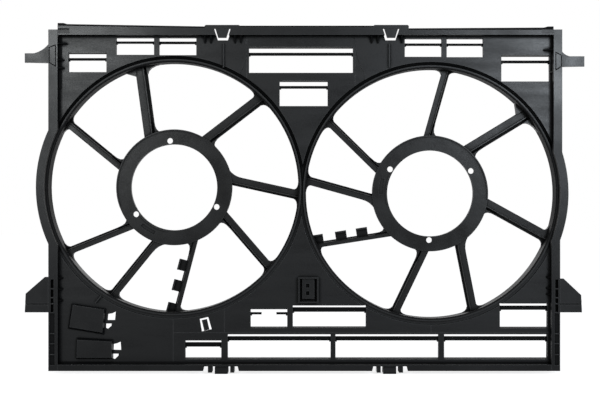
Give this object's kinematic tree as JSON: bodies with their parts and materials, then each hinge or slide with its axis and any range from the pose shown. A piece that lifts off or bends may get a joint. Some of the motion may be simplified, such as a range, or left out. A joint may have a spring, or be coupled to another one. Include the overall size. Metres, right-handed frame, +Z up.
{
  "type": "radiator fan shroud frame",
  "caption": "Bare moulded radiator fan shroud frame with side-by-side fan rings, swept stator arms, motor rings, ram-air flap windows and snap latches.",
  "frame": {"origin": "middle of the overall box in plan, at the height of the underside of the two feet", "axes": "+X to the right as seen from the radiator side, +Y from the radiator towards the engine, +Z up"},
  "size_m": [0.8068, 0.056, 0.507],
  "materials": {
    "sheet_black": "satin",
    "rim_black": "satin",
    "stator_black": "satin",
    "duct_black": "satin",
    "detail_black": "satin"
  },
  "bodies": {
    "frame": {"arm_1_left": "stator_black", "arm_1_right": "stator_black", "arm_2_left": "stator_black", "arm_2_right": "stator_black", "arm_3_left": "stator_black", "arm_3_right": "stator_black", "arm_4_left": "stator_black", "arm_4_right": "stator_black", "arm_5_left": "stator_black", "arm_5_right": "stator_black", "arm_6_left": "stator_black", "arm_6_right": "stator_black", "arm_7_left": "stator_black", "arm_7_right": "stator_black", "cable_arm_left": "stator_black", "cable_arm_right": "stator_black", "connector_bracket": "detail_black", "corner_clips": "detail_black", "ear_lower_left": "detail_black", "ear_lower_right": "detail_black", "ear_upper_left": "detail_black", "ear_upper_right": "detail_black", "fan_ring_left": "rim_black", "fan_ring_right": "rim_black", "flap_frame_latch_left": "duct_black", "flap_frame_latch_right": "duct_black", "flap_frame_low_1": "duct_black", "flap_frame_low_2": "duct_black", "flap_frame_low_3": "duct_black", "flap_frame_low_4": "duct_black", "flap_frame_mid_low": "duct_black", "flap_frame_right_low": "duct_black", "flap_frame_upper_centre": "duct_black", "flap_frame_upper_left": "duct_black", "flap_frame_upper_right": "duct_black", "foot_left": "detail_black", "foot_right": "detail_black", "lower_grille": "sheet_black", "module_pad_lower": "detail_black", "module_pad_upper": "detail_black", "motor_ring_left": "stator_black", "motor_ring_right": "stator_black", "panel_clip": "sheet_black", "panel_latch_left": "sheet_black", "panel_latch_right": "sheet_black", "panel_lower_centre": "sheet_black", "panel_lower_left": "sheet_black", "panel_lower_right": "sheet_black", "panel_upper_centre": "sheet_black", "panel_upper_left": "sheet_black", "panel_upper_right": "sheet_black", "rail_bottom": "rim_black", "rail_left": "rim_black", "rail_right": "rim_black", "rail_top": "rim_black"},
    "latch_left": {"latch_tongue_left": "detail_black"},
    "latch_right": {"latch_tongue_right": "detail_black"},
    "clip": {"wire_clip": "detail_black"}
  },
  "joints": [
    {"name": "latch_left_flex", "type": "hinge", "parent": "frame", "child": "latch_left", "pos_m": [-0.1186, -0.0268, 0.499], "axis": [1, 0, 0], "range_deg": [-6, 10], "stiffness_Nm_per_rad": 0.15},
    {"name": "latch_right_flex", "type": "hinge", "parent": "frame", "child": "latch_right", "pos_m": [0.1248, -0.0268, 0.499], "axis": [1, 0, 0], "range_deg": [-6, 10], "stiffness_Nm_per_rad": 0.15},
    {"name": "wire_clip_flex", "type": "hinge", "parent": "frame", "child": "clip", "pos_m": [-0.142, -0.0074, 0.0624], "axis": [0.9744, 0, 0.225], "range_deg": [-8, 12], "stiffness_Nm_per_rad": 0.08}
  ]
}
